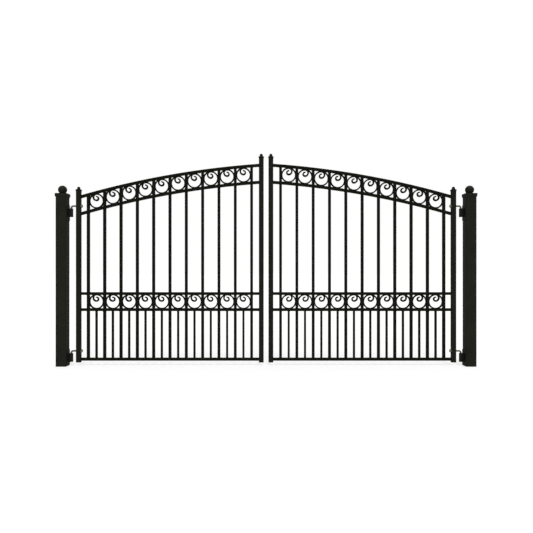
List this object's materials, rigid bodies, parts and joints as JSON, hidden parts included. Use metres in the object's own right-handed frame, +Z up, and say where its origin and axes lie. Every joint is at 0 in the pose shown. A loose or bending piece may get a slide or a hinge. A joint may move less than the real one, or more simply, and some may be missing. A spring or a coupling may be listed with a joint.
{
  "type": "double-leaf driveway gate",
  "caption": "Arched double-leaf driveway gate of black steel with scroll rings and dog bars, hung on J-bolt hinges between square posts with ball caps.",
  "frame": {"origin": "middle of the left post's foot, at ground level", "axes": "+X along the shut gate towards the right post, +Y inwards through the opening and away from the viewer, +Z up"},
  "size_m": [3.846, 0.105, 1.9495],
  "materials": {
    "black_coat": "satin powder coat",
    "zinc": "dull zinc plating"
  },
  "bodies": {
    "posts": {"left_post": "black_coat", "right_post": "black_coat", "left_post_cap": "black_coat", "right_post_cap": "black_coat", "left_post_ball": "black_coat", "right_post_ball": "black_coat", "left_upper_hinge_plate": "black_coat", "left_lower_hinge_plate": "black_coat", "right_upper_hinge_plate": "black_coat", "right_lower_hinge_plate": "black_coat", "left_upper_hinge_barrel": "black_coat", "left_lower_hinge_barrel": "black_coat", "right_upper_hinge_barrel": "black_coat", "right_lower_hinge_barrel": "black_coat"},
    "left_leaf": {"left_upper_j_bolt": "zinc", "left_lower_j_bolt": "zinc", "left_hinge_nuts": "zinc", "left_hinge_stile": "black_coat", "left_meeting_stile": "black_coat", "left_stile_finials": "black_coat", "left_top_rail": "black_coat", "left_arch_rail": "black_coat", "left_upper_mid_rail": "black_coat", "left_lower_mid_rail": "black_coat", "left_bottom_rail": "black_coat", "left_pickets": "black_coat", "left_dog_bars": "black_coat", "left_upper_rings": "black_coat", "left_lower_rings": "black_coat"},
    "right_leaf": {"right_upper_j_bolt": "zinc", "right_lower_j_bolt": "zinc", "right_hinge_nuts": "zinc", "right_hinge_stile": "black_coat", "right_meeting_stile": "black_coat", "right_stile_finials": "black_coat", "right_top_rail": "black_coat", "right_arch_rail": "black_coat", "right_upper_mid_rail": "black_coat", "right_lower_mid_rail": "black_coat", "right_bottom_rail": "black_coat", "right_pickets": "black_coat", "right_dog_bars": "black_coat", "right_upper_rings": "black_coat", "right_lower_rings": "black_coat"}
  },
  "joints": [
    {"name": "left_leaf_swing", "type": "hinge", "parent": "posts", "child": "left_leaf", "pos_m": [0.0805, 0, 0], "axis": [0, 0, 1], "range_deg": [-90, 90]},
    {"name": "right_leaf_swing", "type": "hinge", "parent": "posts", "child": "right_leaf", "pos_m": [3.6605, 0, 0], "axis": [0, 0, -1], "range_deg": [-90, 90]}
  ]
}
